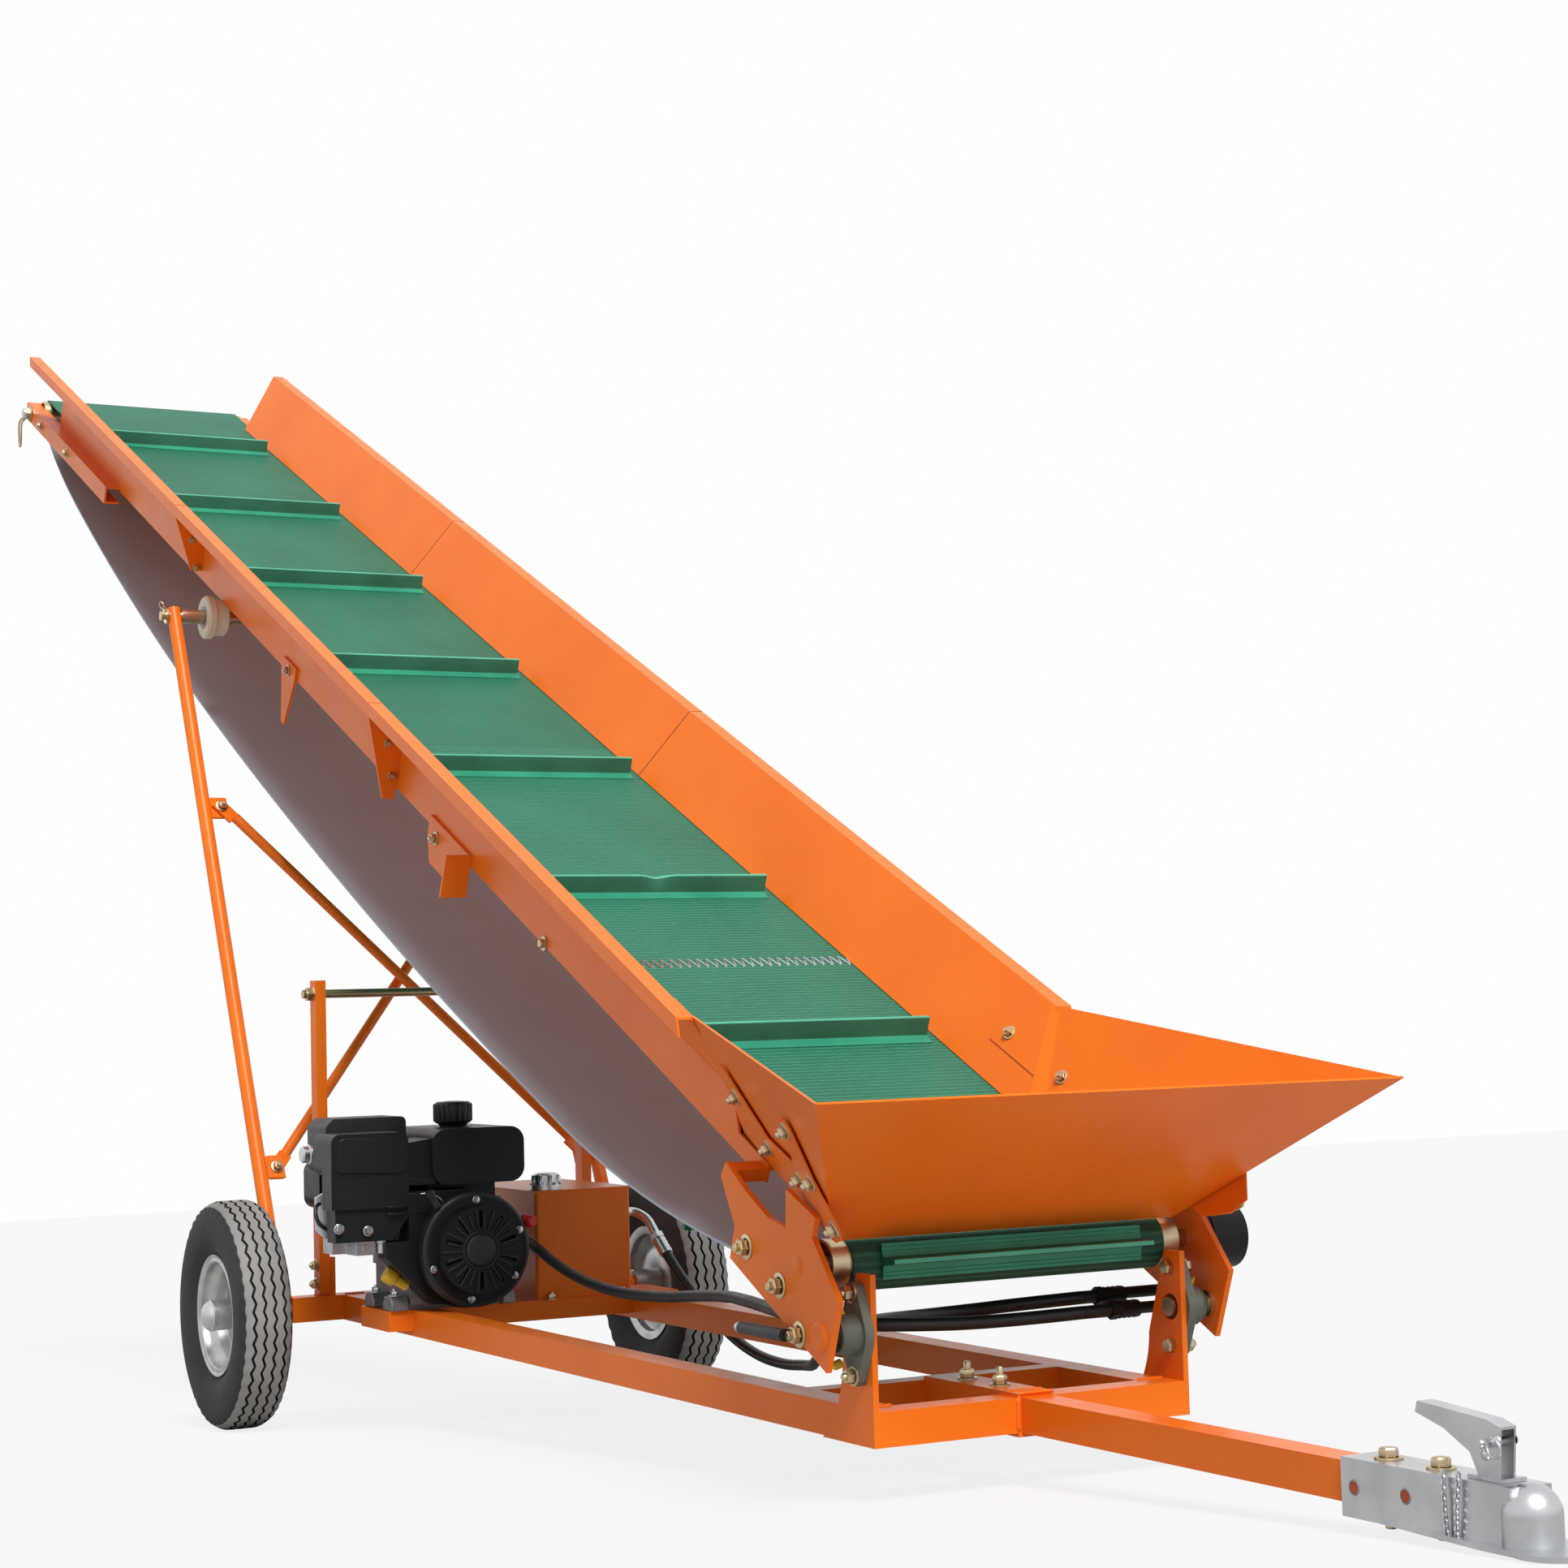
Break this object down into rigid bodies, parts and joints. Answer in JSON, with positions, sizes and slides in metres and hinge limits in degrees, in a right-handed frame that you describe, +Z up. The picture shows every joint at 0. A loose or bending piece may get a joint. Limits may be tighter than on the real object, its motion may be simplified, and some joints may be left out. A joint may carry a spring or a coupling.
{
  "type": "portable belt conveyor",
  "caption": "Towed portable belt conveyor with a pitched cleated belt in a flared trough, feed hopper, prop legs with rollers, engine and hydraulic drive on a tube frame.",
  "frame": {"origin": "floor level at the middle of the parked machine's bounding box", "axes": "+X towards the hitch, +Y to the machine's left, +Z up"},
  "size_m": [4.9554, 0.986, 2.4734],
  "materials": {
    "paint": "orange gloss paint",
    "belt": "green rubber belt",
    "belt_back": "grey fabric back",
    "zinc": "yellow zinc plating",
    "silver": "bright zinc plating",
    "bearing": "grey-green cast housing",
    "tyre": "worn black tyre rubber",
    "galvanised": "galvanised rim",
    "black_paint": "black satin paint",
    "engine": "cast aluminium",
    "black_plastic": "black plastic",
    "nylon": "cream nylon",
    "hose": "black hydraulic hose"
  },
  "bodies": {
    "chassis": {"axle_beam": "paint", "side_rail_near": "paint", "side_rail_far": "paint", "front_beam": "paint", "drawbar_tie": "paint", "drawbar": "paint", "engine_pad_beam": "paint", "upright_near": "paint", "upright_far": "paint", "bearing_near": "bearing", "bearing_far": "bearing", "rest_post_near": "paint", "rest_post_far": "paint", "rest_shaft": "zinc", "coupler": "silver", "coupler_latch": "silver", "engine_crankcase": "engine", "engine_cylinder": "engine", "engine_shroud": "black_paint", "recoil_cover": "black_paint", "fuel_tank": "black_paint", "tank_cap": "black_plastic", "air_cleaner": "black_plastic", "muffler": "black_paint", "hydraulic_pump": "engine", "oil_tank": "paint", "oil_tank_fittings": "silver", "engine_cover": "black_paint", "hose_lines": "hose"},
    "boom": {"side_panel_near": "paint", "side_panel_far": "paint", "belt_deck": "paint", "cross_members": "paint", "boom_brackets": "paint", "tail_plate_near": "paint", "tail_plate_far": "paint", "pivot_stub_near": "zinc", "pivot_stub_far": "zinc", "hopper_front": "paint", "hopper_wing_near": "paint", "hopper_wing_far": "paint", "tail_drum": "zinc", "head_drum": "zinc", "belt_carry": "belt", "belt_return": "belt_back", "takeup_near": "paint", "takeup_far": "paint", "hydraulic_motor": "black_paint", "hose_motor": "hose"},
    "prop_legs": {"leg_near": "paint", "leg_far": "paint", "brace_front": "paint", "brace_rear": "paint", "leg_shaft": "zinc", "leg_roller_near": "nylon", "leg_roller_far": "nylon"},
    "wheel_near": {"tyre_near": "tyre", "rim_near": "galvanised"},
    "wheel_far": {"tyre_far": "tyre", "rim_far": "galvanised"}
  },
  "joints": [
    {"name": "boom_pitch", "type": "hinge", "parent": "chassis", "child": "boom", "pos_m": [1.46276, 0, 0.21244], "axis": [0, 1, 0], "range_deg": [-13.2, 0], "deforming": ["belt_return"]},
    {"name": "leg_swing", "type": "hinge", "parent": "chassis", "child": "prop_legs", "pos_m": [-0.51079, 0, 0.205], "axis": [0, 1, 0], "range_deg": [-33.5, 0]},
    {"name": "wheel_near_spin", "type": "hinge", "parent": "chassis", "child": "wheel_near", "pos_m": [-0.51079, -0.433, 0.205], "axis": [0, 1, 0], "continuous": true},
    {"name": "wheel_far_spin", "type": "hinge", "parent": "chassis", "child": "wheel_far", "pos_m": [-0.51079, 0.433, 0.205], "axis": [0, 1, 0], "continuous": true}
  ],
  "couplings": [
    {"joint": "leg_swing", "follows": "boom_pitch", "ratio": 2.52}
  ]
}
